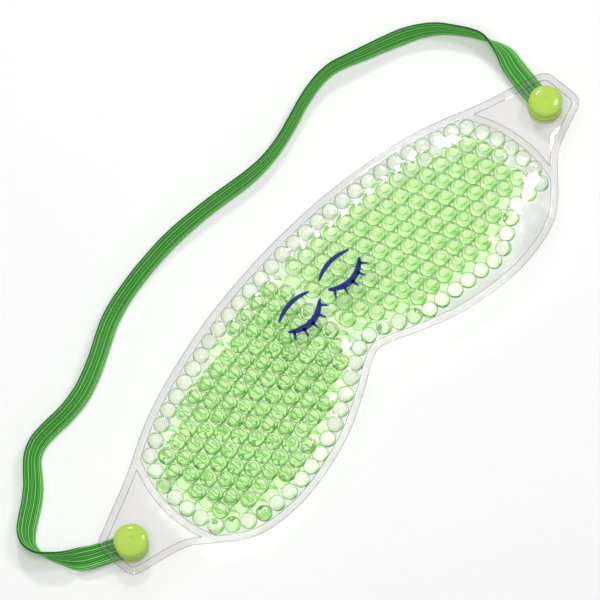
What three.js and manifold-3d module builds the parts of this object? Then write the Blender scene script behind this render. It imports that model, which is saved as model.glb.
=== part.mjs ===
// A gel-bead eye mask with an elastic head strap, in millimetres, lying on its back on a surface.
// +X runs along the mask, +Y points to its forehead edge and +Z out of its front face.
// The origin is on the surface, under the middle of the pouch.
// The pouch is two welded films round a fill of beads. A tab at each end carries a four-piece press snap:
// a cap and a stud on the tab, and a socket and a back cap on the strap.
import * as THREE from "three";
import { mergeVertices } from "three/addons/utils/BufferGeometryUtils.js";
import Module from "manifold-3d";

const wasm = await Module();
wasm.setup();

// Pouch.
const TAB_END = 118.3; // from the middle of the mask to the end of a tab
const TAB_CORNER = 3.5;
const RIM = 2.6; // width of the welded flange round the bead chamber
const SHOULDER = 9; // from the flange to where the pouch reaches its full thickness
const FILM = 0.35;
const SEAM_GAP = 0.1;
const SEAM_BOTTOM = 5.9; // underside of the flange and the tabs
const BACK_DEPTH = 5.9; // how far the back film hangs below the flange
const FRONT_RISE = 4.8;
// Each edge from the middle of the mask to the end of a tab, mirrored for the other half.
const FOREHEAD_EDGE = [
  [0, 35.6], [27.8, 34.2], [52.2, 30.2], [73, 24.5], [92.2, 16.2], [104.3, 11.8], [TAB_END, 6.8],
];
const NOSE_EDGE = [
  [0, -18.1], [7, -20.6], [17, -25.7], [33.7, -32.1], [55.7, -35.6], [74.8, -33.4], [86.3, -26.6],
  [93.9, -19.4], [100.9, -15.3], [TAB_END, -10.1],
];
// The weld between the chamber and a tab is an arc that bulges towards the tab.
const WELD_ARC = { x: 44.2, y: -6, radius: 49 };

// Bead fill: one plain body of the space that the beads take.
const FILL_INSET = 1.6; // clear of the chamber's edge
const FILL_MIDDLE = 6.1;
const FILL_RISE = 4.3;
const FILL_DEPTH = 5;
const FILL_END = 91;

// Snaps.
const SNAP_X = 108.9;
const SNAP_Y = -1;
const CAP_RADIUS = 6.05;
const FLANGE_RADIUS = 5.8; // of the stud and the socket
const PRONG_RADIUS = 1.1;
const PRONG_HEAD = 1.6; // radius of the prong's flattened end
const PRONG_HOLE = 1.35; // through the tab, the strap, the stud and the socket
const POST_RADIUS = 2.6;
const POST_BEAD = 2.75; // the stud's widest ring
const POST_BORE = 1.95;
const SOCKET_BORE = 2.85;

// Strap: a flat elastic. It is one piece of elastic, split here where it leaves the two tabs.
const STRAP_WIDTH = 8;
const STRAP_THICK = 1;
const STRAP_MIDDLE = 2.6; // height of the strap's middle at the snaps
const STRAP_TAIL = 5.2; // past the middle of the snap
const SPLIT_GAP = 0.9; // between a flat end and the free strap
// The free strap from the right tab to the left one: x, y, the strap's turn in degrees about its own length
// from lying flat, and how far it is held above the surface.
const STRAP_ROUTE = [
  [111.6, 12, 0, 2.1], [112.7, 17, 8, 1.9], [114.3, 22, 25, 1.2], [114.6, 27, 52, 0.4], [113.9, 32.5, 80, 0],
  [111.9, 37.4, 88, 0], [108.4, 43, 92, 0], [105, 47.2, 99, 0], [100.2, 51.1, 106, 0], [94.4, 54.4, 112, 0],
  [88.1, 57.2, 110, 0], [81.7, 59.8, 106, 0], [74.6, 62.8, 100, 0], [68.5, 64.8, 101, 0], [61.5, 65.1, 104, 0],
  [52.6, 63.7, 106, 0], [44, 61.4, 107, 0], [34.5, 59.3, 106, 0], [25.4, 58.6, 107, 0], [16.5, 59.3, 111, 0],
  [7.6, 60.9, 112, 0], [-2.5, 62.5, 113, 0], [-16.9, 63.8, 118, 0], [-31.2, 63.4, 120, 0], [-42.8, 62, 122, 0],
  [-52.4, 59.8, 128, 0], [-59.5, 56.9, 131, 0], [-66.6, 53.5, 131, 0], [-73.7, 50.6, 131, 0],
  [-80.8, 48.5, 130, 0], [-88.7, 47.7, 127, 0], [-97.4, 48, 126, 0], [-103.4, 47.7, 129, 0],
  [-108.4, 45.6, 133, 0], [-112.5, 41.8, 141, 0], [-116.3, 38, 144, 0], [-120.9, 34.6, 143, 0],
  [-125.9, 31.6, 142, 0], [-129.9, 28.8, 138, 0], [-132.4, 25.2, 126, 0], [-132.6, 21, 110, 0],
  [-130.9, 16.8, 92, 0.1], [-128.6, 13, 74, 0.3], [-126, 9.7, 45, 0.9], [-123, 7.2, 15, 1.8],
  [-119.9, 5.4, 0, 2.1],
];
const STRAP_STEPS = 76;
// The free strap swings about the line between the two places where it leaves the tabs.
const SWING_LINE = Math.atan2(
  STRAP_ROUTE[0][1] - STRAP_ROUTE.at(-1)[1],
  STRAP_ROUTE[0][0] - STRAP_ROUTE.at(-1)[0],
);

const film = new THREE.MeshStandardMaterial({
  color: 0xdfe4e2, roughness: 0.12, metalness: 0, transparent: true, opacity: 0.35,
});
const gel = new THREE.MeshStandardMaterial({ color: 0xa9e58f, roughness: 0.15, metalness: 0 });
const lime = new THREE.MeshStandardMaterial({ color: 0xa4d645, roughness: 0.25, metalness: 0 });
const elastic = new THREE.MeshStandardMaterial({ color: 0x3fa043, roughness: 0.85, metalness: 0 });

const group = new THREE.Group();

function addPart(name, geometry, material, parent = group) {
  const mesh = new THREE.Mesh(geometry, material);
  mesh.name = name;
  parent.add(mesh);
  return mesh;
}

// A closed geometry as a manifold solid.
function solidOf(geometry) {
  const bare = geometry.clone();
  bare.deleteAttribute("normal");
  bare.deleteAttribute("uv");
  const merged = mergeVertices(bare, 1e-4);
  return new wasm.Manifold(new wasm.Mesh({
    numProp: 3,
    vertProperties: merged.getAttribute("position").array,
    triVerts: new Uint32Array(merged.index.array),
  }));
}

function geometryOf(solid) {
  const mesh = solid.getMesh();
  const geometry = new THREE.BufferGeometry();
  geometry.setAttribute("position", new THREE.BufferAttribute(mesh.vertProperties, 3));
  geometry.setIndex(new THREE.BufferAttribute(mesh.triVerts, 1));
  geometry.computeVertexNormals();
  return geometry;
}

// The geometry with an upright round hole at each [x, y] of centres.
function drilled(geometry, centres) {
  let solid = solidOf(geometry);
  for (const [x, y] of centres) {
    const drill = new THREE.CylinderGeometry(PRONG_HOLE, PRONG_HOLE, 4 * BACK_DEPTH, 20);
    drill.rotateX(Math.PI / 2);
    drill.translate(x, y, 0);
    solid = solid.subtract(solidOf(drill));
  }
  return geometryOf(solid);
}

// A mirrored edge as a function from x to y, and as points.
function smoothEdge(half) {
  const mirrored = half.slice(1).reverse().map(([x, y]) => [-x, y]);
  const curve = new THREE.SplineCurve([...mirrored, ...half].map(([x, y]) => new THREE.Vector2(x, y)));
  const points = curve.getPoints(240);
  const at = (x) => {
    const next = Math.max(1, points.findIndex((p) => p.x >= x - 1e-9));
    const [a, b] = [points[next - 1], points[next]];
    return a.y + (b.y - a.y) * (x - a.x) / (b.x - a.x);
  };
  return { at, points };
}

const forehead = smoothEdge(FOREHEAD_EDGE);
const nose = smoothEdge(NOSE_EDGE);

// How much a tab's rounded corners take off its edges at x.
function cornerCut(x) {
  const past = Math.min(Math.abs(x), TAB_END) - (TAB_END - TAB_CORNER);
  return past > 0 ? TAB_CORNER - Math.sqrt(TAB_CORNER ** 2 - past ** 2) : 0;
}

// Distance from a point to the edge of the bead chamber, negative outside it.
function chamberDepth(x, y) {
  const here = new THREE.Vector2(x, y);
  const toEdge = Math.min(...[...forehead.points, ...nose.points].map((p) => p.distanceTo(here)));
  const outside = y > forehead.at(x) || y < nose.at(x);
  const beyond = Math.max(Math.abs(x) - WELD_ARC.x, 0);
  const toWeld = WELD_ARC.radius - Math.hypot(beyond, y - WELD_ARC.y);
  return Math.min((outside ? -toEdge : toEdge) - RIM, toWeld);
}

// Rises from 0 at the chamber's edge to 1 one shoulder inside it, in a quarter circle.
function bulge(depth) {
  const u = THREE.MathUtils.clamp(depth / SHOULDER, 0, 1);
  return Math.sqrt(1 - (1 - u) ** 2);
}

// A closed body between two height functions, over columns given as [x, lowest y, highest y].
function sheet(columns, across, bottomAt, topAt) {
  const positions = [];
  for (const heightAt of [bottomAt, topAt])
    for (const [x, low, high] of columns)
      for (let j = 0; j <= across; j++) {
        const y = low + (high - low) * (1 - Math.cos(Math.PI * j / across)) / 2;
        positions.push(x, y, heightAt(x, y));
      }
  const row = across + 1;
  const layer = columns.length * row;
  const faces = [];
  const quad = (a, b, c, d) => faces.push(a, b, c, a, c, d);
  for (let i = 0; i < columns.length - 1; i++)
    for (let j = 0; j < across; j++) {
      const a = i * row + j;
      quad(a, a + 1, a + row + 1, a + row);
      quad(layer + a, layer + a + row, layer + a + row + 1, layer + a + 1);
    }
  for (let i = 0; i < columns.length - 1; i++) {
    const a = i * row;
    const b = a + across;
    quad(a, a + row, layer + a + row, layer + a);
    quad(b + row, b, layer + b, layer + b + row);
  }
  const last = layer - row;
  for (let j = 0; j < across; j++) {
    quad(j + 1, j, layer + j, layer + j + 1);
    quad(last + j, last + j + 1, layer + last + j + 1, layer + last + j);
  }
  const geometry = new THREE.BufferGeometry();
  geometry.setAttribute("position", new THREE.Float32BufferAttribute(positions, 3));
  geometry.setIndex(faces);
  geometry.computeVertexNormals();
  return geometry;
}

// Columns of the whole outline, with extra ones round the tabs' corners.
function outlineColumns(steps) {
  const straight = TAB_END - TAB_CORNER;
  const xs = [];
  for (let i = 0; i <= steps; i++) xs.push(-straight + 2 * straight * i / steps);
  for (const degrees of [30, 60, 90]) {
    const x = straight + TAB_CORNER * Math.sin(THREE.MathUtils.degToRad(degrees));
    xs.push(x);
    xs.unshift(-x);
  }
  return xs.map((x) => [x, nose.at(x) + cornerCut(x), forehead.at(x) - cornerCut(x)]);
}

// Columns of the fill, which follows the chamber's edge and its end welds.
function fillColumns(steps) {
  const edge = RIM + FILL_INSET + 0.4;
  const radius = WELD_ARC.radius - FILL_INSET;
  const columns = [];
  for (let i = 0; i <= steps; i++) {
    const x = FILL_END * Math.sin(Math.PI * (i / steps - 0.5));
    const beyond = Math.max(Math.abs(x) - WELD_ARC.x, 0);
    const reach = Math.sqrt(radius ** 2 - beyond ** 2);
    columns.push([
      x,
      Math.max(nose.at(x) + edge, WELD_ARC.y - reach),
      Math.min(forehead.at(x) - edge, WELD_ARC.y + reach),
    ]);
  }
  return columns;
}

function addPouch() {
  const columns = outlineColumns(38);
  const across = 12;
  const holes = [[-SNAP_X, SNAP_Y], [SNAP_X, SNAP_Y]];
  const backAt = (x, y) => SEAM_BOTTOM - BACK_DEPTH * bulge(chamberDepth(x, y));
  const frontAt = (x, y) => SEAM_BOTTOM + FILM + SEAM_GAP + FRONT_RISE * bulge(chamberDepth(x, y));
  const back = sheet(columns, across, backAt, (x, y) => backAt(x, y) + FILM);
  const front = sheet(columns, across, frontAt, (x, y) => frontAt(x, y) + FILM);
  addPart("back_film", drilled(back, holes), film);
  addPart("front_film", drilled(front, holes), film);
  const inner = (x, y) => bulge(chamberDepth(x, y) - FILL_INSET);
  const fill = sheet(
    fillColumns(26),
    8,
    (x, y) => FILL_MIDDLE - FILL_DEPTH * inner(x, y),
    (x, y) => FILL_MIDDLE + 0.1 + FILL_RISE * inner(x, y),
  );
  addPart("bead_fill", fill, gel);
}

// A body turned round the snap's axis from [radius, height] points.
function turned(points) {
  const geometry = new THREE.LatheGeometry(points.map(([r, z]) => new THREE.Vector2(r, z)), 20);
  geometry.rotateX(Math.PI / 2);
  return geometry;
}

const FRONT_CAP = [
  [0, 4.5], [PRONG_HEAD, 4.5], [PRONG_HEAD, 4.8], [PRONG_RADIUS, 4.85], [PRONG_RADIUS, 6.8],
  [CAP_RADIUS - 0.4, 6.8], [CAP_RADIUS, 7.15], [CAP_RADIUS, 7.8], [CAP_RADIUS - 0.5, 8.45],
  [CAP_RADIUS - 1.8, 8.85], [1.4, 9], [0.5, 8.75], [0, 8.75],
];
const STUD = [
  [PRONG_HOLE, 4.95], [POST_BORE, 4.95], [POST_BORE, 3.95], [POST_BEAD - 0.25, 3.95], [POST_BEAD, 4.25],
  [POST_RADIUS, 4.6], [POST_RADIUS, 5.15], [FLANGE_RADIUS - 0.2, 5.15], [FLANGE_RADIUS, 5.35],
  [FLANGE_RADIUS, 5.8], [PRONG_HOLE, 5.8], [PRONG_HOLE, 4.95],
];
const SOCKET = [
  [PRONG_HOLE, 3.2], [FLANGE_RADIUS - 0.2, 3.2], [FLANGE_RADIUS, 3.4], [FLANGE_RADIUS, 4.65],
  [FLANGE_RADIUS - 0.4, 5.05], [SOCKET_BORE + 0.35, 5.05], [SOCKET_BORE, 4.8], [SOCKET_BORE, 3.7],
  [PRONG_HOLE, 3.7], [PRONG_HOLE, 3.2],
];
const BACK_CAP = [
  [0, 0], [CAP_RADIUS - 1.4, 0], [CAP_RADIUS - 0.35, 0.35], [CAP_RADIUS, 0.9], [CAP_RADIUS, 1.7],
  [CAP_RADIUS - 0.3, 2], [PRONG_RADIUS, 2], [PRONG_RADIUS, 3.75], [PRONG_HEAD, 3.8], [PRONG_HEAD, 4.15],
  [0, 4.15],
];

function addSnap(side, x) {
  const snap = new THREE.Group();
  snap.position.set(x, SNAP_Y, 0);
  group.add(snap);
  addPart(side + "_front_cap", turned(FRONT_CAP), lime, snap);
  addPart(side + "_stud", turned(STUD), lime, snap);
  addPart(side + "_socket", turned(SOCKET), lime, snap);
  addPart(side + "_back_cap", turned(BACK_CAP), lime, snap);
}

// A closed flat band through stations of { middle, across }, where across points along the band's width.
function band(stations) {
  const positions = [];
  stations.forEach(({ middle, across }, i) => {
    const before = stations[Math.max(i - 1, 0)].middle;
    const after = stations[Math.min(i + 1, stations.length - 1)].middle;
    const along = after.clone().sub(before).normalize();
    const wide = across.clone().addScaledVector(along, -across.dot(along)).normalize();
    const thick = along.clone().cross(wide);
    for (const [u, v] of [[-1, -1], [1, -1], [1, 1], [-1, 1]]) {
      const corner = middle.clone();
      corner.addScaledVector(wide, u * STRAP_WIDTH / 2);
      corner.addScaledVector(thick, v * STRAP_THICK / 2);
      positions.push(corner.x, corner.y, corner.z);
    }
  });
  const faces = [0, 2, 1, 0, 3, 2];
  for (let i = 0; i < stations.length - 1; i++)
    for (let k = 0; k < 4; k++) {
      const a = 4 * i + k;
      const b = 4 * i + (k + 1) % 4;
      faces.push(a, b, b + 4, a, b + 4, a + 4);
    }
  const end = 4 * (stations.length - 1);
  faces.push(end, end + 1, end + 2, end, end + 2, end + 3);
  const geometry = new THREE.BufferGeometry();
  geometry.setAttribute("position", new THREE.Float32BufferAttribute(positions, 3));
  geometry.setIndex(faces);
  geometry.computeVertexNormals();
  return geometry;
}

// A geometry laid along X, moved onto the swing line where it crosses the strap at the right tab.
function onSwingLine(geometry) {
  geometry.rotateZ(SWING_LINE);
  geometry.translate(STRAP_ROUTE[0][0], STRAP_ROUTE[0][1], STRAP_MIDDLE);
  return solidOf(geometry);
}

// A block that covers the strap from the swing line onwards, to the side given, less a gap.
function pastSwingLine(side, gap) {
  const block = new THREE.BoxGeometry(2 * STRAP_WIDTH, STRAP_WIDTH, 4 * STRAP_THICK);
  block.translate(0, side * STRAP_WIDTH / 2 - gap, 0);
  return onSwingLine(block);
}

// The stretch of strap that lies flat from its tail, over the snap, to a length short of or past its exit.
function strapEnd(snapX, [exitX, exitY], past) {
  const snap = new THREE.Vector3(snapX, SNAP_Y, STRAP_MIDDLE);
  const exit = new THREE.Vector3(exitX, exitY, STRAP_MIDDLE);
  const along = exit.clone().sub(snap).normalize();
  const across = new THREE.Vector3(along.y, -along.x, 0);
  const tail = snap.clone().addScaledVector(along, -STRAP_TAIL);
  const end = exit.clone().addScaledVector(along, past);
  return drilled(band([{ middle: tail, across }, { middle: end, across }]), [[snapX, SNAP_Y]]);
}

// The strap's middle at each step of its free route, turned and lifted as the route says.
function strapStations() {
  const curve = new THREE.CatmullRomCurve3(STRAP_ROUTE.map(([x, y]) => new THREE.Vector3(x, y, 0)));
  const spans = STRAP_ROUTE.length - 1;
  const stations = [];
  for (let i = 0; i <= STRAP_STEPS; i++) {
    const t = i / STRAP_STEPS;
    const span = Math.min(Math.floor(t * spans), spans - 1);
    const [from, to] = [STRAP_ROUTE[span], STRAP_ROUTE[span + 1]];
    const part = t * spans - span;
    const turn = THREE.MathUtils.degToRad(THREE.MathUtils.lerp(from[2], to[2], part));
    const raised = THREE.MathUtils.lerp(from[3], to[3], part);
    const middle = curve.getPoint(t);
    const along = curve.getTangent(t);
    middle.z = raised + STRAP_WIDTH / 2 * Math.sin(turn) + STRAP_THICK / 2 * Math.abs(Math.cos(turn));
    const outward = new THREE.Vector3(along.y, -along.x, 0).multiplyScalar(Math.cos(turn));
    stations.push({ middle, across: outward.setZ(-Math.sin(turn)) });
  }
  return stations;
}

// The free strap. Its right end is cut along the swing line and rounded, so that it turns clear of the flat end.
function strapLoop() {
  const stations = strapStations();
  const [first, second] = stations;
  const back = first.middle.clone().sub(second.middle).setZ(0).setLength(STRAP_WIDTH / 4);
  stations.unshift({ middle: first.middle.clone().add(back), across: first.across });
  const whole = solidOf(band(stations));
  const nose = new THREE.CylinderGeometry(STRAP_THICK / 2, STRAP_THICK / 2, 2 * STRAP_WIDTH, 16);
  nose.rotateZ(Math.PI / 2);
  const rounded = whole.intersect(onSwingLine(nose));
  return geometryOf(whole.subtract(pastSwingLine(-1, 0)).add(rounded));
}

function addStrap() {
  const rightEnd = strapEnd(SNAP_X, STRAP_ROUTE[0], STRAP_WIDTH / 4);
  const cut = solidOf(rightEnd).subtract(pastSwingLine(1, SPLIT_GAP));
  addPart("strap_right_end", geometryOf(cut), elastic);
  addPart("strap_loop", strapLoop(), elastic);
  addPart("strap_left_end", strapEnd(-SNAP_X, STRAP_ROUTE.at(-1), -SPLIT_GAP), elastic);
}

addPouch();
addSnap("left", -SNAP_X);
addSnap("right", SNAP_X);
addStrap();

export default group;
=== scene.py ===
import math

import bmesh
import bpy
import numpy as np
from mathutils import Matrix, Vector, kdtree


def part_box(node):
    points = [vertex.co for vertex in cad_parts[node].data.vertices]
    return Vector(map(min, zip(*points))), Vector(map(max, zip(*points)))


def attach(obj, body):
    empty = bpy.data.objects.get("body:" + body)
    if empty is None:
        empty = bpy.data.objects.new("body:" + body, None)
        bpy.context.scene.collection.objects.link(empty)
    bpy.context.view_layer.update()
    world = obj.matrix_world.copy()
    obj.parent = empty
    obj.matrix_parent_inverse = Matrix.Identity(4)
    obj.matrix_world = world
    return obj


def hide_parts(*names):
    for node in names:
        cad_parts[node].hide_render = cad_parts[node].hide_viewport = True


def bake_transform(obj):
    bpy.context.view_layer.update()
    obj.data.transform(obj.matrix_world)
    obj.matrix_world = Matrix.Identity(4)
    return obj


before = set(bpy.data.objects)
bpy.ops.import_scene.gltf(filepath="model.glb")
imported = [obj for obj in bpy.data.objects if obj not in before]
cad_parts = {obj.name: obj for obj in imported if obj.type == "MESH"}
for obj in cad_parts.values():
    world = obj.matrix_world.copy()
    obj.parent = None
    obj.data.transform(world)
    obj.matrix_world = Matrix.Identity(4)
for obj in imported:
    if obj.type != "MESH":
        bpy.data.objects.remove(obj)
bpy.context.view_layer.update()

MM = 0.001

# -------------------- sizes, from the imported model
FILM_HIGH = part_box("back_film")[1]
FRONT_LOW, FRONT_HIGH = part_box("front_film")
CAP_LOW, CAP_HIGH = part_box("right_front_cap")
BACK_CAP_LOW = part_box("right_back_cap")[0]
STRAP_LOW, STRAP_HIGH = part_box("strap_right_end")

TAB_END = FILM_HIGH[0]
SNAP = ((CAP_LOW[0] + CAP_HIGH[0]) / 2, (CAP_LOW[1] + CAP_HIGH[1]) / 2)
CAP_RADIUS = (CAP_HIGH[0] - CAP_LOW[0]) / 2
SEAM_Z = (FILM_HIGH[2] + FRONT_LOW[2]) / 2
FRONT_TOP = FRONT_HIGH[2]
STRAP_THICK = STRAP_HIGH[2] - STRAP_LOW[2]
FILM = 0.3 * MM
RIM = 2.6 * MM
SHOULDER = 9 * MM
WELD_ARC = (43.8 * MM, -6 * MM)  # middle of the arc of the weld at each end of the chamber
CHAMBER_ARC = 46.8 * MM  # its radius on the chamber's side
TAB_ARC = 49.3 * MM  # and on the tab's side
STRAP_WIDTH = 8 * MM

# -------------------- camera
CAMERA_AZIMUTH = -48.3
CAMERA_ELEVATION = 70
CAMERA_DISTANCE = 1.74
AIM = Vector((-5.8 * MM, 13.2 * MM, 10.9 * MM))


def add_camera():
    azimuth, elevation = math.radians(CAMERA_AZIMUTH), math.radians(CAMERA_ELEVATION)
    back = Vector((
        math.sin(azimuth) * math.cos(elevation),
        -math.cos(azimuth) * math.cos(elevation),
        math.sin(elevation),
    ))
    data = bpy.data.cameras.new("camera")
    data.lens = 300
    data.sensor_width = 36
    data.clip_start, data.clip_end = 0.05, 20
    camera = bpy.data.objects.new("camera", data)
    camera.location = AIM + back * CAMERA_DISTANCE
    camera.rotation_euler = back.to_track_quat("Z", "Y").to_euler()
    bpy.context.scene.collection.objects.link(camera)
    bpy.context.scene.camera = camera


add_camera()


# -------------------- mesh helpers
def mesh_object(name, vertices, faces, material, smooth=True):
    mesh = bpy.data.meshes.new(name)
    mesh.from_pydata(np.asarray(vertices).tolist(), [], [tuple(f) for f in faces])
    mesh.update()
    mesh.materials.append(material)
    if smooth:
        mesh.polygons.foreach_set("use_smooth", np.ones(len(mesh.polygons), bool))
    obj = bpy.data.objects.new(name, mesh)
    bpy.context.scene.collection.objects.link(obj)
    return obj


def grid_quads(rows, columns, wrap=False):
    """Faces of a grid of rows by columns points, numbered row by row."""
    r, c = np.meshgrid(np.arange(rows - 1), np.arange(columns if wrap else columns - 1), indexing="ij")
    r, c = r.ravel(), c.ravel()
    after = (c + 1) % columns
    here, ahead = r * columns, (r + 1) * columns
    return np.stack([here + c, ahead + c, ahead + after, here + after], 1)


def ring_faces(rings, around, closed):
    """Faces of a tube of rings of points: joined end to end where it is closed, and else capped."""
    last = (rings - 1) * around
    if closed:
        ends = [(last + k, k, (k + 1) % around, last + (k + 1) % around) for k in range(around)]
    else:
        ends = [tuple(range(around)), tuple(range(last, last + around))[::-1]]
    return grid_quads(rings, around, wrap=True).tolist() + ends


# -------------------- materials
HAZE_TINT = (0.966, 0.966, 0.97)
DAMP_TINT = (0.945, 0.985, 0.915)
HAZE_DAMP = 0.3  # the value of the attribute "damp" where the film is hazy and not yet green
GEL_IOR = 1.34
PALE_UNTIL, RIM_FROM = 0.48, 0.85  # how far a bead's surface turns away where it starts to darken, and stops
PAINTED_SHADE_SIDE = (-0.06, -0.98, 0.19)  # painted shade: the side where each bead has a darker crescent, tuned for the look of the fill
# where the painted shade crescent starts and where it is full, and its tint
PAINTED_SHADE_FROM, PAINTED_SHADE_FULL = 0.86, 0.98
PAINTED_SHADE_TINT = (0.5, 0.8, 0.4)
DEEPEST = 7.5  # light that has gone through more surfaces than this passes straight on
WHITE = (1, 1, 1)


def new_material(name):
    material = bpy.data.materials.new(name)
    material.use_nodes = True
    nodes, links = material.node_tree.nodes, material.node_tree.links
    return material, nodes, links, nodes["Principled BSDF"]


def ramp_node(nodes, *stops):
    """A colour ramp through stops of a place and a colour, from the lowest place to the highest."""
    ramp = nodes.new("ShaderNodeValToRGB")
    elements = ramp.color_ramp.elements
    elements[0].position, elements[0].color = stops[0][0], (*stops[0][1], 1)
    elements[1].position, elements[1].color = stops[-1][0], (*stops[-1][1], 1)
    for place, colour in stops[1:-1]:
        elements.new(place).color = (*colour, 1)
    return ramp


def noise_node(nodes, scale, detail):
    noise = nodes.new("ShaderNodeTexNoise")
    noise.inputs["Scale"].default_value = scale
    noise.inputs["Detail"].default_value = detail
    return noise


def bump_node(nodes, strength, distance):
    bump = nodes.new("ShaderNodeBump")
    bump.inputs["Strength"].default_value = strength
    bump.inputs["Distance"].default_value = distance
    return bump


def attribute_value(nodes, name):
    attribute = nodes.new("ShaderNodeAttribute")
    attribute.attribute_name = name
    return attribute.outputs["Fac"]


def layer_weight(nodes):
    facing = nodes.new("ShaderNodeLayerWeight")
    facing.inputs["Blend"].default_value = 0.5
    return facing


def multiplied(nodes, links, first, second):
    """Two colours multiplied."""
    mix = nodes.new("ShaderNodeMix")
    mix.data_type = "RGBA"
    mix.blend_type = "MULTIPLY"
    mix.inputs[0].default_value = 1
    links.new(first, mix.inputs[6])
    links.new(second, mix.inputs[7])
    return mix.outputs[2]


def mixed_shader(nodes, links, share, first, second):
    """The first shader where share is 0 and the second where it is 1."""
    mix = nodes.new("ShaderNodeMixShader")
    links.new(share, mix.inputs["Fac"])
    links.new(first, mix.inputs[1])
    links.new(second, mix.inputs[2])
    return mix.outputs["Shader"]


def mottle(nodes, links, shader, noise, dark, light):
    """Colours a shader between two tones by a noise."""
    ramp = ramp_node(nodes, (0, dark), (1, light))
    coordinates = nodes.new("ShaderNodeTexCoord")
    links.new(coordinates.outputs["Object"], noise.inputs["Vector"])
    links.new(noise.outputs["Fac"], ramp.inputs["Fac"])
    links.new(ramp.outputs["Color"], shader.inputs["Base Color"])


def schlick(nodes, links, least):
    """How much a clear surface mirrors, from least head on to all of the light at a grazing angle."""
    facing = layer_weight(nodes)
    power = nodes.new("ShaderNodeMath")
    power.operation = "POWER"
    power.inputs[1].default_value = 5
    scale = nodes.new("ShaderNodeMath")
    scale.operation = "MULTIPLY_ADD"
    scale.inputs[1].default_value = 1 - least
    scale.inputs[2].default_value = least
    links.new(facing.outputs["Facing"], power.inputs[0])
    links.new(power.outputs["Value"], scale.inputs[0])
    return facing, scale.outputs["Value"]


def see_through(name, tint, roughness, wrinkle):
    """Thin clear vinyl: light passes straight through it, and it mirrors more at a low angle.

    The attribute "damp" tints it: at HAZE_DAMP with a faint haze, and at 1 with a pale green as well.
    """
    material, nodes, links, shader = new_material(name)
    nodes.remove(shader)
    hazy_green = [haze * damp for haze, damp in zip(HAZE_TINT, DAMP_TINT)]
    film_tint = ramp_node(nodes, (0, tint), (HAZE_DAMP, HAZE_TINT), (1, hazy_green))
    links.new(attribute_value(nodes, "damp"), film_tint.inputs["Fac"])
    clear = nodes.new("ShaderNodeBsdfTransparent")
    links.new(film_tint.outputs["Color"], clear.inputs["Color"])
    gloss = nodes.new("ShaderNodeBsdfGlossy")
    gloss.inputs["Color"].default_value = (*WHITE, 1)
    gloss.inputs["Roughness"].default_value = roughness
    facing, mirrored = schlick(nodes, links, 0.04)
    wrinkles = noise_node(nodes, 90, 3)
    bump = bump_node(nodes, wrinkle, 0.001)
    coordinates = nodes.new("ShaderNodeTexCoord")
    links.new(coordinates.outputs["Object"], wrinkles.inputs["Vector"])
    links.new(wrinkles.outputs["Fac"], bump.inputs["Height"])
    links.new(bump.outputs["Normal"], gloss.inputs["Normal"])
    links.new(bump.outputs["Normal"], facing.inputs["Normal"])
    seen = mixed_shader(nodes, links, mirrored, clear.outputs["BSDF"], gloss.outputs["BSDF"])
    path = nodes.new("ShaderNodeLightPath")
    lit = mixed_shader(nodes, links, path.outputs["Is Shadow Ray"], seen, clear.outputs["BSDF"])
    links.new(lit, nodes["Material Output"].inputs["Surface"])
    return material


def gel_tint(nodes, links, pale, rim, edge, wet):
    """The gel's colour: deeper where a bead turns away, with a thin darker line round each wet patch."""
    turned = ramp_node(nodes, (PALE_UNTIL, pale), (RIM_FROM, rim))
    line = ramp_node(nodes, (0.1, WHITE), (0.5, edge), (0.9, WHITE))
    links.new(layer_weight(nodes).outputs["Facing"], turned.inputs["Fac"])
    links.new(wet, line.inputs["Fac"])
    return multiplied(nodes, links, turned.outputs["Color"], line.outputs["Color"])


def painted_shade_crescent(nodes, links):
    """Painted shade: a darker crescent on one fixed side of each bead."""
    normal = nodes.new("ShaderNodeTexCoord")
    side = nodes.new("ShaderNodeVectorMath")
    side.operation = "DOT_PRODUCT"
    side.inputs[1].default_value = PAINTED_SHADE_SIDE
    crescent = ramp_node(nodes, (PAINTED_SHADE_FROM, WHITE), (PAINTED_SHADE_FULL, PAINTED_SHADE_TINT))
    links.new(normal.outputs["Normal"], side.inputs[0])
    links.new(side.outputs["Value"], crescent.inputs["Fac"])
    return crescent.outputs["Color"]


def straight_share(nodes, links):
    """1 for shadow rays and for light that has gone through many surfaces, and 0 for other light."""
    path = nodes.new("ShaderNodeLightPath")
    deep = nodes.new("ShaderNodeMath")
    deep.operation = "GREATER_THAN"
    deep.inputs[1].default_value = DEEPEST
    either = nodes.new("ShaderNodeMath")
    either.operation = "MAXIMUM"
    links.new(path.outputs["Transmission Depth"], deep.inputs[0])
    links.new(deep.outputs["Value"], either.inputs[0])
    links.new(path.outputs["Is Shadow Ray"], either.inputs[1])
    return either.outputs["Value"]


def gel(name, pale, rim, edge, shadow):
    """Translucent gel: a tinted, water-clear bead.

    The attribute "wet" is 1 where it presses on something, and light passes straight on there.
    """
    material, nodes, links, shader = new_material(name)
    nodes.remove(shader)
    wet = attribute_value(nodes, "wet")
    tint = gel_tint(nodes, links, pale, rim, edge, wet)
    glass = nodes.new("ShaderNodeBsdfGlass")
    glass.inputs["Roughness"].default_value = 0.0
    glass.inputs["IOR"].default_value = GEL_IOR
    # the glass colour carries the painted shade crescent on one side of each bead
    links.new(multiplied(nodes, links, tint, painted_shade_crescent(nodes, links)), glass.inputs["Color"])
    straight = nodes.new("ShaderNodeBsdfTransparent")
    links.new(tint, straight.inputs["Color"])
    joined = mixed_shader(nodes, links, wet, glass.outputs["BSDF"], straight.outputs["BSDF"])
    clear = nodes.new("ShaderNodeBsdfTransparent")
    clear.inputs["Color"].default_value = (*shadow, 1)
    seen = mixed_shader(nodes, links, straight_share(nodes, links), joined, clear.outputs["BSDF"])
    links.new(seen, nodes["Material Output"].inputs["Surface"])
    return material


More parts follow.
